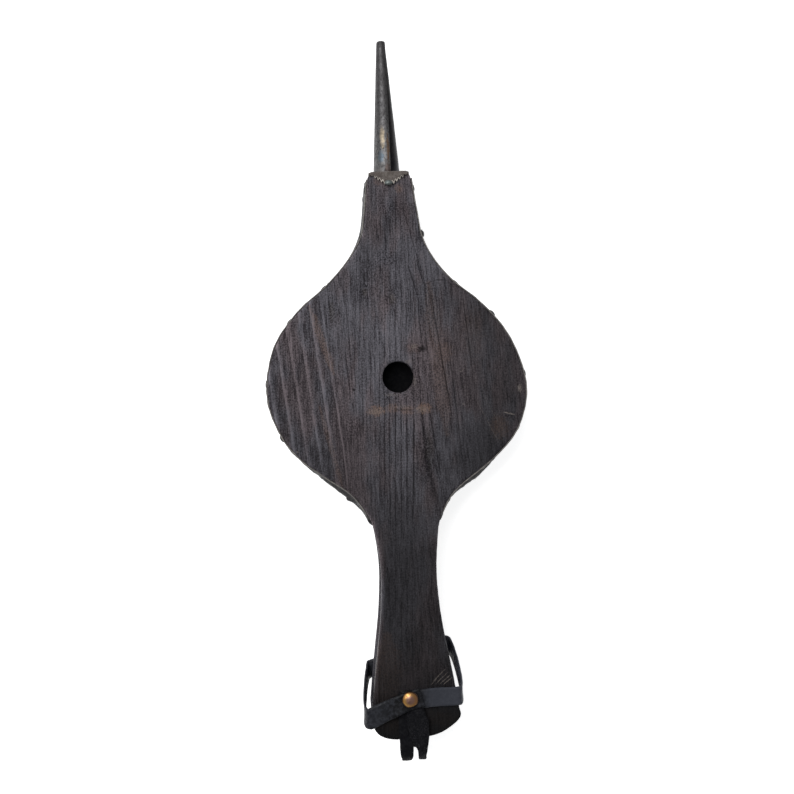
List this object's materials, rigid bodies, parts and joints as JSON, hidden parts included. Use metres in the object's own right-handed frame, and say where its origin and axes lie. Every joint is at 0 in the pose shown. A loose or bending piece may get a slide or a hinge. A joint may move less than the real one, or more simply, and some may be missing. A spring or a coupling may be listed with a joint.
{
  "type": "hand bellows",
  "caption": "Hand bellows of dark wood with an iron nozzle, a leather gusset, a round air hole with a flap valve, and a leather handle strap.",
  "frame": {"origin": "on the back board's flat outer face, straight under the centre of the air hole", "axes": "+Y along the nozzle, +Z from the back board to the holed front board, +X to the right seen from the front board"},
  "size_m": [0.2054, 0.5696, 0.0677],
  "materials": {
    "dark_wood": "dark stained softwood, worn along edges, low sheen",
    "pale_wood": "unfinished softwood",
    "black_leather": "black leather, dull, creased",
    "brown_leather": "brown leather, dry",
    "iron": "rolled sheet iron with brown oxide",
    "tack_iron": "blackened iron",
    "brass": "polished dome with brown tarnish"
  },
  "bodies": {
    "back_half": {"back_board": "dark_wood", "nozzle_block": "pale_wood", "nozzle": "iron", "gusset_leather": "black_leather", "nose_leather": "brown_leather", "nose_end_tack_1": "tack_iron", "nose_end_tack_2": "tack_iron", "nose_end_tack_3": "tack_iron", "nose_end_tack_4": "tack_iron", "block_nail_1": "tack_iron", "block_nail_2": "tack_iron", "back_edge_tack_right_1": "tack_iron", "back_edge_tack_right_2": "tack_iron", "back_edge_tack_right_3": "tack_iron", "back_edge_tack_right_4": "tack_iron", "back_edge_tack_right_5": "tack_iron", "back_edge_tack_right_6": "tack_iron", "back_edge_tack_right_7": "tack_iron", "back_edge_tack_right_8": "tack_iron", "back_edge_tack_left_1": "tack_iron", "back_edge_tack_left_2": "tack_iron", "back_edge_tack_left_3": "tack_iron", "back_edge_tack_left_4": "tack_iron", "back_edge_tack_left_5": "tack_iron", "back_edge_tack_left_6": "tack_iron", "back_edge_tack_left_7": "tack_iron", "back_edge_tack_left_8": "tack_iron"},
    "hoop": {"inner_hoop": "pale_wood"},
    "front_half": {"front_board": "dark_wood", "nose_tongue": "brown_leather", "nose_tongue_tack": "tack_iron", "valve_hinge_strip": "black_leather", "valve_hinge_tack_1": "tack_iron", "valve_hinge_tack_2": "tack_iron", "valve_stop_strap": "black_leather", "valve_stop_tack_1": "tack_iron", "valve_stop_tack_2": "tack_iron", "strap_front_run": "black_leather", "strap_brass_tack": "brass", "hanging_loop_tab": "black_leather", "front_edge_tack_right_1": "tack_iron", "front_edge_tack_right_2": "tack_iron", "front_edge_tack_right_3": "tack_iron", "front_edge_tack_right_4": "tack_iron", "front_edge_tack_right_5": "tack_iron", "front_edge_tack_right_6": "tack_iron", "front_edge_tack_right_7": "tack_iron", "front_edge_tack_right_8": "tack_iron", "front_edge_tack_left_1": "tack_iron", "front_edge_tack_left_2": "tack_iron", "front_edge_tack_left_3": "tack_iron", "front_edge_tack_left_4": "tack_iron", "front_edge_tack_left_5": "tack_iron", "front_edge_tack_left_6": "tack_iron", "front_edge_tack_left_7": "tack_iron", "front_edge_tack_left_8": "tack_iron"},
    "valve": {"valve_flap": "black_leather", "valve_stiffener": "pale_wood"},
    "strap": {"strap_loop": "black_leather"},
    "hanger": {"hanging_loop": "black_leather"}
  },
  "joints": [
    {"name": "board_hinge", "type": "hinge", "parent": "back_half", "child": "front_half", "pos_m": [0, 0.158, 0.056], "axis": [-1, 0, 0], "range_deg": [0, 25], "deforming": ["gusset_leather", "strap_loop"]},
    {"name": "hoop_hinge", "type": "hinge", "parent": "back_half", "child": "hoop", "pos_m": [0, 0.158, 0.056], "axis": [-1, 0, 0], "range_deg": [0, 12.5]},
    {"name": "valve_hinge", "type": "hinge", "parent": "front_half", "child": "valve", "pos_m": [0, 0.0227, 0.0417], "axis": [1, 0, 0], "range_deg": [0, 18]},
    {"name": "strap_swing", "type": "hinge", "parent": "front_half", "child": "strap", "pos_m": [0, -0.254, 0.0573], "axis": [-1, 0, 0], "range_deg": [0, 60]},
    {"name": "hanger_swing", "type": "hinge", "parent": "front_half", "child": "hanger", "pos_m": [0, -0.27715, 0.059], "axis": [-1, 0, 0], "range_deg": [0, 90]}
  ],
  "couplings": [
    {"joint": "hoop_hinge", "follows": "board_hinge", "ratio": 0.5}
  ]
}
